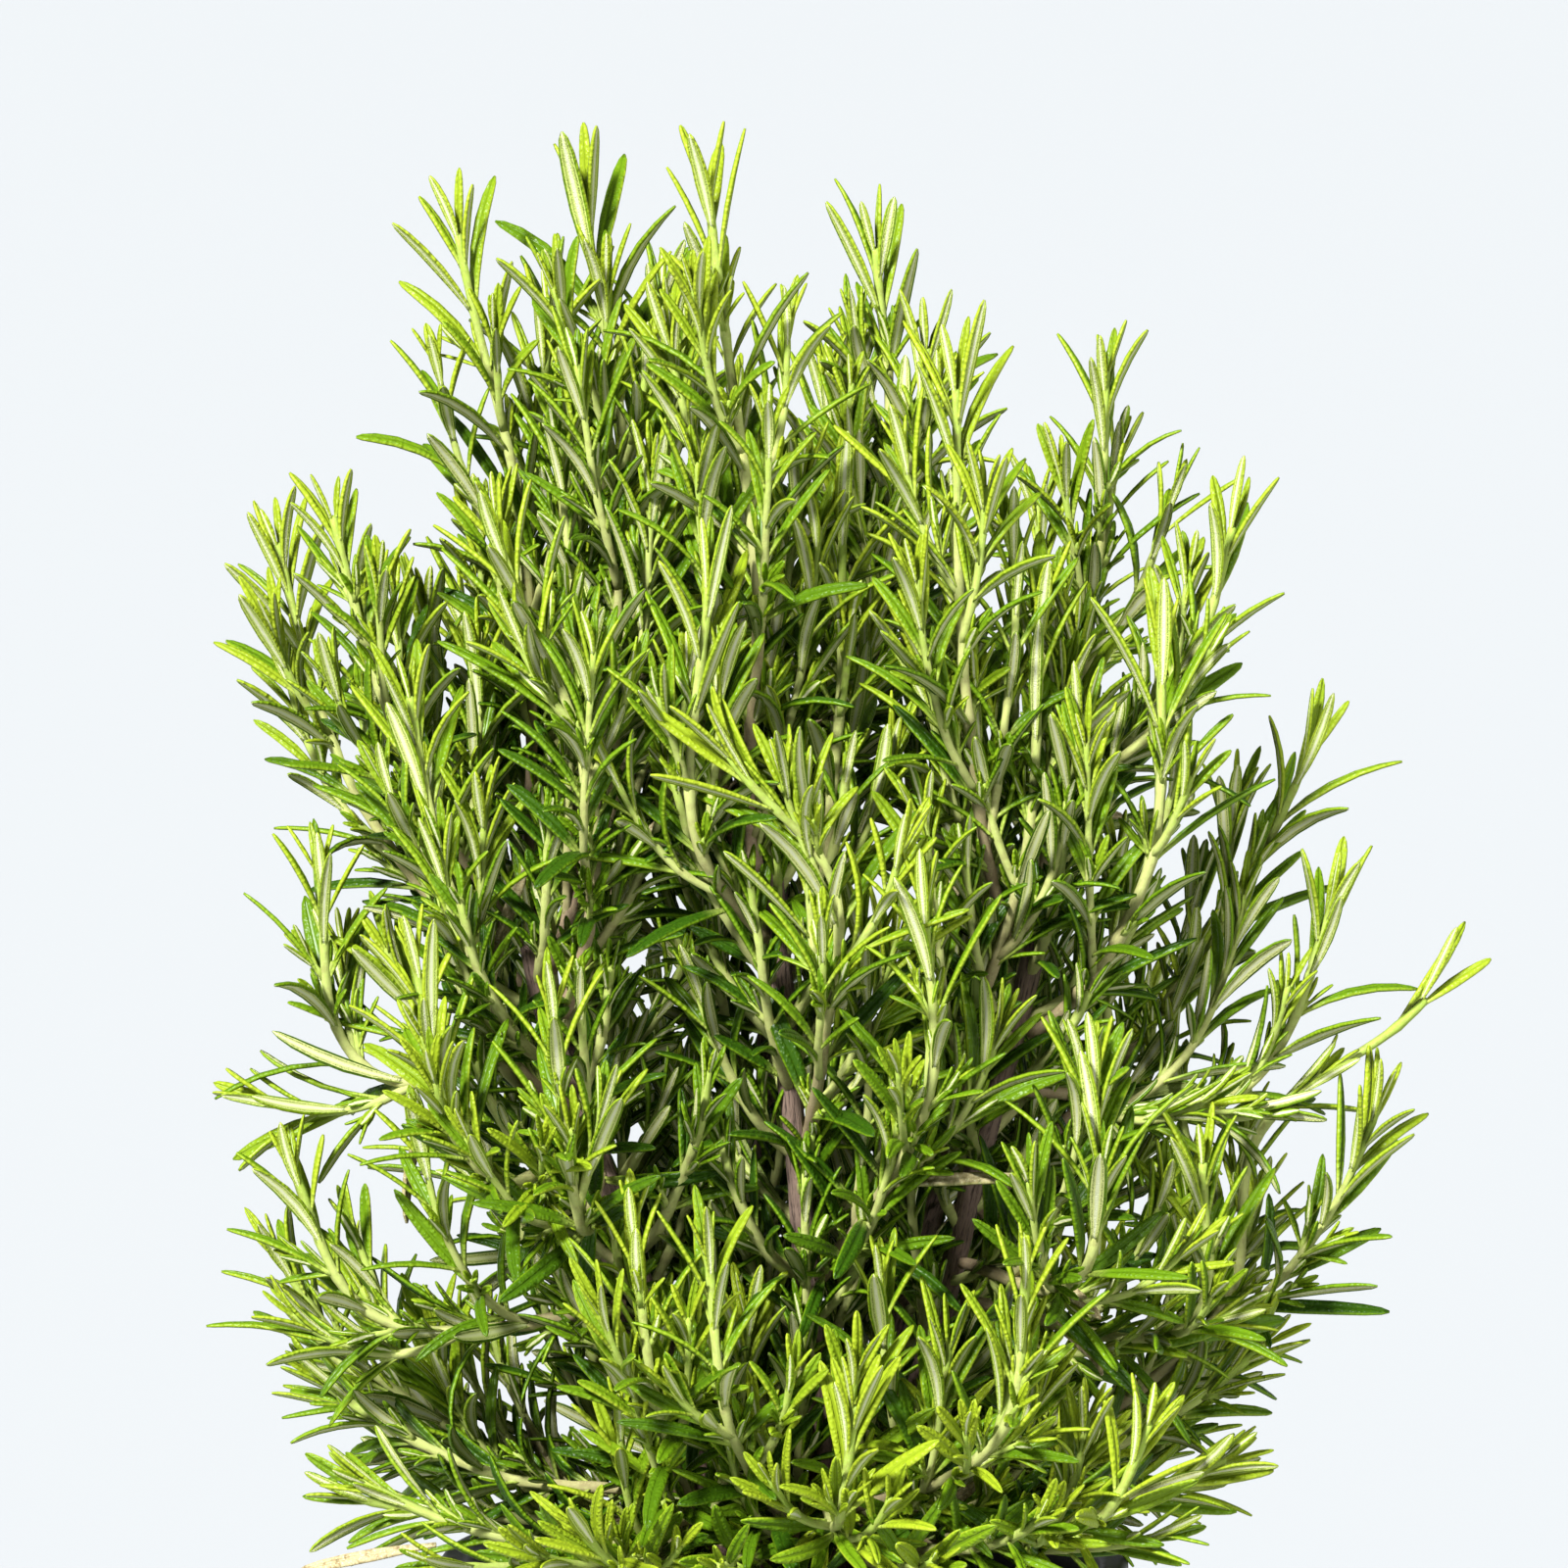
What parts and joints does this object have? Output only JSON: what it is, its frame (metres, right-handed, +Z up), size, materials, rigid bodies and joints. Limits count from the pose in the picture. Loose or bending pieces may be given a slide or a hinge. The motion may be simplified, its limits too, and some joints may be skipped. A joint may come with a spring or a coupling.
{
  "type": "potted rosemary plant",
  "caption": "Bushy upright rosemary with opposite needle leaves on soft green shoots and barked stems, growing in potting soil in a plain round nursery pot.",
  "frame": {"origin": "centre of the pot's flat base, on the surface it stands on", "axes": "+Z up along the pot's axis and the plant's height; -Y towards the side that is seen from the front; +X to the right of it"},
  "size_m": [0.2389, 0.1833, 0.3865],
  "materials": {
    "pot_plastic": "matte",
    "potting_soil": "matte",
    "bark": "matte",
    "leafy_shoot": "satin"
  },
  "bodies": {
    "root": {"pot": "pot_plastic", "potting_soil": "potting_soil", "woody_stem_1": "bark", "woody_stem_2": "bark", "woody_stem_3": "bark", "woody_stem_4": "bark", "woody_stem_5": "bark", "woody_stem_6": "bark", "shoot_01": "leafy_shoot", "shoot_02": "leafy_shoot", "shoot_03": "leafy_shoot", "shoot_04": "leafy_shoot", "shoot_05": "leafy_shoot", "shoot_06": "leafy_shoot", "shoot_07": "leafy_shoot", "shoot_08": "leafy_shoot", "shoot_09": "leafy_shoot", "shoot_10": "leafy_shoot", "shoot_11": "leafy_shoot", "shoot_12": "leafy_shoot", "shoot_13": "leafy_shoot", "shoot_14": "leafy_shoot", "shoot_15": "leafy_shoot", "shoot_16": "leafy_shoot", "shoot_17": "leafy_shoot", "shoot_18": "leafy_shoot", "shoot_19": "leafy_shoot", "shoot_20": "leafy_shoot", "shoot_21": "leafy_shoot", "shoot_22": "leafy_shoot", "shoot_23": "leafy_shoot", "shoot_24": "leafy_shoot", "shoot_25": "leafy_shoot", "shoot_26": "leafy_shoot", "shoot_27": "leafy_shoot", "shoot_28": "leafy_shoot", "shoot_29": "leafy_shoot", "shoot_30": "leafy_shoot", "shoot_31": "leafy_shoot", "shoot_32": "leafy_shoot", "shoot_33": "leafy_shoot", "shoot_34": "leafy_shoot", "shoot_35": "leafy_shoot", "shoot_36": "leafy_shoot", "shoot_37": "leafy_shoot", "shoot_38": "leafy_shoot", "shoot_39": "leafy_shoot", "shoot_40": "leafy_shoot", "shoot_41": "leafy_shoot", "shoot_42": "leafy_shoot", "shoot_43": "leafy_shoot", "shoot_44": "leafy_shoot", "shoot_45": "leafy_shoot", "shoot_46": "leafy_shoot", "shoot_47": "leafy_shoot", "shoot_48": "leafy_shoot", "shoot_49": "leafy_shoot", "shoot_50": "leafy_shoot", "shoot_51": "leafy_shoot", "shoot_52": "leafy_shoot"}
  },
  "joints": []
}
